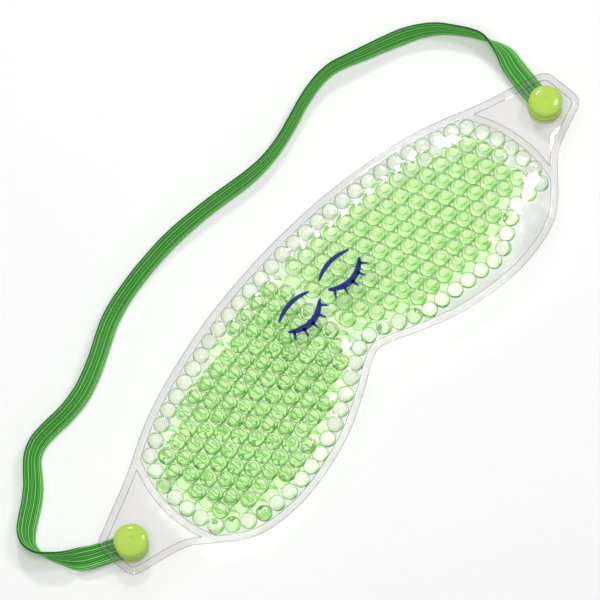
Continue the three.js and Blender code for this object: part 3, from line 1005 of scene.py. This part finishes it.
borders = [(chamber_border(), 0.11, True), (outline(0.12 * MM), 0.1, True)]
ribs = [(outline(inset * MM), 0.1, True) for inset in (0.55, 1.05, 1.6)]
for end in (-1, 1):
    borders.append((tab_border(end, RIM, TAB_ARC), 0.12, True))
    for out in (0.75 * MM, 1.35 * MM, 1.9 * MM):
        ribs.append((arc(end, CHAMBER_ARC + out, *meeting(end, CHAMBER_ARC + out, RIM)), 0.13, False))
for side_name, facing in (("front", 1), ("back", -1)):
    add_welds("weld_borders_" + side_name, facing, borders, WELD_MATERIAL)
    add_welds("weld_ribs_" + side_name, facing, ribs, FILM_MATERIAL)


# -------------------- printed eyes
EYES = ((-9.4, 8.2), (11.5, 8.2))  # middle of each closed eye, in millimetres
EYE_HALF = 8.2


def surface_z(x, y):
    """Height of the front film's outer face."""
    columns = GRID[:, 0, 0]
    i = int(np.clip(np.searchsorted(columns, x) - 1, 0, FILM_COLUMNS - 2))
    t = (x - columns[i]) / (columns[i + 1] - columns[i])
    a = np.interp(y, GRID[i, :, 1], FRONT_SURFACE[i])
    b = np.interp(y, GRID[i + 1, :, 1], FRONT_SURFACE[i + 1])
    return a + (b - a) * t


def stroke(line, widths):
    """A flat closed stroke that lies on the film, along a line in millimetres."""
    line, widths = np.asarray(line, float) * MM, np.asarray(widths, float) * MM
    ahead = np.gradient(line, axis=0)
    ahead /= np.linalg.norm(ahead, axis=1, keepdims=True)
    side = np.stack([-ahead[:, 1], ahead[:, 0]], 1)
    spread = np.linspace(-0.5, 0.5, 6)
    plane = line[:, None] + side[:, None] * widths[:, None, None] * spread[None, :, None]
    flat = plane.reshape(-1, 2)
    z = np.array([surface_z(x, y) for x, y in flat])
    count = len(flat)
    points = np.vstack([np.column_stack([flat, z + 0.02 * MM]), np.column_stack([flat, z + 0.06 * MM])])
    faces = grid_quads(len(line), 6)
    border = (
        [i * 6 for i in range(len(line))] + [(len(line) - 1) * 6 + j for j in range(1, 6)]
        + [i * 6 + 5 for i in range(len(line) - 2, -1, -1)] + [j for j in range(4, 0, -1)]
    )
    walls = [(a, b, b + count, a + count) for a, b in zip(border, border[1:] + border[:1])]
    return points, faces.tolist() + (faces[:, ::-1] + count).tolist() + walls


def add_print():
    strokes = []
    t = np.linspace(-1, 1, 56)
    for cx, cy in EYES:
        lid = np.column_stack([cx + EYE_HALF * t, cy - 3.6 * (1 - t ** 2)])
        strokes.append(stroke(lid, 0.4 + 2.0 * np.sqrt(1 - 0.98 * t ** 2)))
        brow = np.column_stack([cx + EYE_HALF * 0.95 * t, cy + 4.6 + 1.9 * (1 - t ** 2)])
        strokes.append(stroke(brow, 0.35 + 1.3 * np.sqrt(1 - 0.98 * t ** 2)))
        for at in (-0.8, -0.42, 0, 0.42, 0.8):
            start = np.array([cx + EYE_HALF * at, cy - 3.6 * (1 - at ** 2)])
            angle = math.radians(-90 + 42 * at)
            along = np.linspace(0, 3.4, 12)[:, None]
            bend = 0.35 * at * np.sin(along / 3.4 * np.pi / 2) ** 2
            lash = start + along * [math.cos(angle), math.sin(angle)] + bend * [1, 0.3]
            strokes.append(stroke(lash, np.linspace(1.35, 0.45, 12)))
    vertices, faces, count = [], [], 0
    for points, quads in strokes:
        vertices.append(points)
        faces += [tuple(count + i for i in face) for face in quads]
        count += len(points)
    obj = mesh_object("printed_eyes", np.vstack(vertices), faces, INK_MATERIAL, smooth=False)
    face_out(obj)
    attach(obj, "pouch")


add_print()


# -------------------- snaps
PRONG_WIDE, PRONG_HEAD, PRONG_HOLE, AXIS = 1.1, 1.6, 1.35, 0.05  # radii in millimetres
LATHE_TURNS = 64


def lathe(name, x, profile, node, body):
    """A snap part turned round its upright axis from rows of radius and height in millimetres."""
    profile = np.array(profile)
    closed = np.allclose(profile[0], profile[-1])
    if closed:
        profile = profile[:-1]
    angle = np.linspace(0, 2 * np.pi, LATHE_TURNS, endpoint=False)
    points = np.empty((len(profile), LATHE_TURNS, 3))
    points[:, :, 0] = x + profile[:, 0, None] * MM * np.cos(angle)
    points[:, :, 1] = SNAP[1] + profile[:, 0, None] * MM * np.sin(angle)
    points[:, :, 2] = profile[:, 1, None] * MM
    faces = ring_faces(len(profile), LATHE_TURNS, closed)
    obj = mesh_object(name, points.reshape(-1, 3), faces, LIME_MATERIAL)
    face_out(obj)
    obj.data.set_sharp_from_angle(angle=math.radians(40))
    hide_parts(node)
    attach(obj, body)


def front_cap_profile():
    top, foot = CAP_HIGH[2] / MM, CAP_LOW[2] / MM
    wide = CAP_RADIUS / MM
    return [
        [AXIS, top - 0.34], [0.45, top - 0.33], [0.75, top - 0.27], [1, top - 0.1], [1.25, top - 0.02],
        [1.7, top], [2.5, top - 0.03], [3.3, top - 0.11], [4, top - 0.23], [4.6, top - 0.4], [5.1, top - 0.6],
        [5.5, top - 0.84], [wide - 0.25, top - 1.12], [wide - 0.08, top - 1.4], [wide, top - 1.7],
        [wide - 0.05, top - 1.95], [wide - 0.2, top - 2.12], [wide - 0.45, top - 2.2],
        [PRONG_WIDE, top - 2.2], [PRONG_WIDE, foot + 0.35], [PRONG_HEAD, foot + 0.3], [PRONG_HEAD, foot],
        [AXIS, foot],
    ]


def back_cap_profile():
    low = BACK_CAP_LOW[2] / MM
    wide = CAP_RADIUS / MM
    return [
        [AXIS, low], [3.4, low], [4.2, low + 0.08], [4.9, low + 0.25], [5.4, low + 0.48], [5.75, low + 0.75],
        [5.95, low + 1.05], [wide, low + 1.35], [wide - 0.03, low + 1.65], [wide - 0.15, low + 1.88],
        [wide - 0.35, low + 2], [PRONG_WIDE, low + 2], [PRONG_WIDE, low + 3.75], [PRONG_HEAD, low + 3.8],
        [PRONG_HEAD, low + 4.15], [AXIS, low + 4.15],
    ]


def stud_profile(flange, low, high):
    return [
        [PRONG_HOLE, high], [flange - 0.12, high], [flange, high - 0.12], [flange, high - 0.45],
        [flange - 0.2, high - 0.65], [4.4, high - 0.65], [4.2, high - 0.5], [3.4, high - 0.5],
        [3.2, high - 0.65], [2.6, high - 0.65], [2.6, high - 1.2], [2.68, high - 1.4], [2.75, high - 1.55],
        [2.7, high - 1.72], [2.5, low], [1.95, low], [1.95, high - 0.85], [PRONG_HOLE, high - 0.85],
        [PRONG_HOLE, high],
    ]


def socket_profile(flange, low, high):
    return [
        [PRONG_HOLE, low], [flange - 0.2, low], [flange, low + 0.2], [flange, low + 1.45],
        [flange - 0.15, low + 1.7], [flange - 0.4, high], [4.6, high], [4.4, high - 0.35],
        [3.8, high - 0.35], [3.6, high], [3.2, high], [2.9, high - 0.15], [2.85, high - 0.35],
        [2.85, low + 0.5], [PRONG_HOLE, low + 0.5], [PRONG_HOLE, low],
    ]


def add_snap(side, x):
    post_low, post_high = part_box(side + "_stud")
    ring_low, ring_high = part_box(side + "_socket")
    flange = (post_high[0] - post_low[0]) / 2 / MM
    stud = stud_profile(flange, post_low[2] / MM, post_high[2] / MM)
    socket = socket_profile(flange, ring_low[2] / MM, ring_high[2] / MM)
    lathe("snap_cap_" + side, x, front_cap_profile(), side + "_front_cap", "pouch")
    lathe("snap_stud_" + side, x, stud, side + "_stud", "pouch")
    lathe("snap_socket_" + side, x, socket, side + "_socket", "strap_fittings")
    lathe("snap_back_" + side, x, back_cap_profile(), side + "_back_cap", "strap_fittings")


add_snap("left", -SNAP[0])
add_snap("right", SNAP[0])


# -------------------- floor and light
def add_floor():
    size = 3.0
    floor = mesh_object(
        "floor",
        [(-size, -size, 0), (size, -size, 0), (size, size, 0), (-size, size, 0)],
        [(0, 1, 2, 3)],
        floor_material(),
    )
    floor.location.z = -0.0002


def floor_material():
    material, _, _, shader = new_material("floor_white")
    shader.inputs["Base Color"].default_value = (0.93, 0.93, 0.93, 1)
    shader.inputs["Roughness"].default_value = 0.9
    shader.inputs["Specular IOR Level"].default_value = 0.1
    return material


def add_light(name, place, aim, size, power, mirrored=True):
    data = bpy.data.lights.new(name, "AREA")
    data.shape = "RECTANGLE"
    data.size, data.size_y = size
    data.energy = power
    lamp = bpy.data.objects.new(name, data)
    lamp.location = place
    lamp.rotation_euler = (Vector(place) - Vector(aim)).to_track_quat("Z", "Y").to_euler()
    lamp.visible_glossy = mirrored
    bpy.context.scene.collection.objects.link(lamp)


def add_world():
    """A studio that is bright overhead and dim towards its walls."""
    world = bpy.data.worlds.new("studio")
    bpy.context.scene.world = world
    world.use_nodes = True
    nodes, links = world.node_tree.nodes, world.node_tree.links
    background = nodes["Background"]
    background.inputs["Strength"].default_value = 0.34
    coordinates = nodes.new("ShaderNodeTexCoord")
    split = nodes.new("ShaderNodeSeparateXYZ")
    walls, horizon, high = (0.3, 0.31, 0.3), (0.4, 0.41, 0.4), (0.95, 0.95, 0.95)
    ramp = ramp_node(nodes, (0, walls), (0.35, horizon), (0.65, high), (1, WHITE))
    links.new(coordinates.outputs["Generated"], split.inputs["Vector"])
    links.new(split.outputs["Z"], ramp.inputs["Fac"])
    links.new(ramp.outputs["Color"], background.inputs["Color"])


add_floor()
add_light("key", (0.45, 0.58, 0.75), (0, 0.02, 0), (0.16, 0.12), 2.7)
add_light("side", (0.62, -0.12, 0.95), (0, 0.02, 0), (0.22, 0.24), 2.3)
add_light("overhead", (-0.35, -0.1, 1.3), (0, 0.02, 0), (0.9, 0.9), 9.6, mirrored=False)
add_world()
scene = bpy.context.scene
scene.view_settings.view_transform = "Standard"
scene.cycles.max_bounces = 32
scene.cycles.transmission_bounces = 32
scene.cycles.glossy_bounces = 8
scene.cycles.transparent_max_bounces = 64
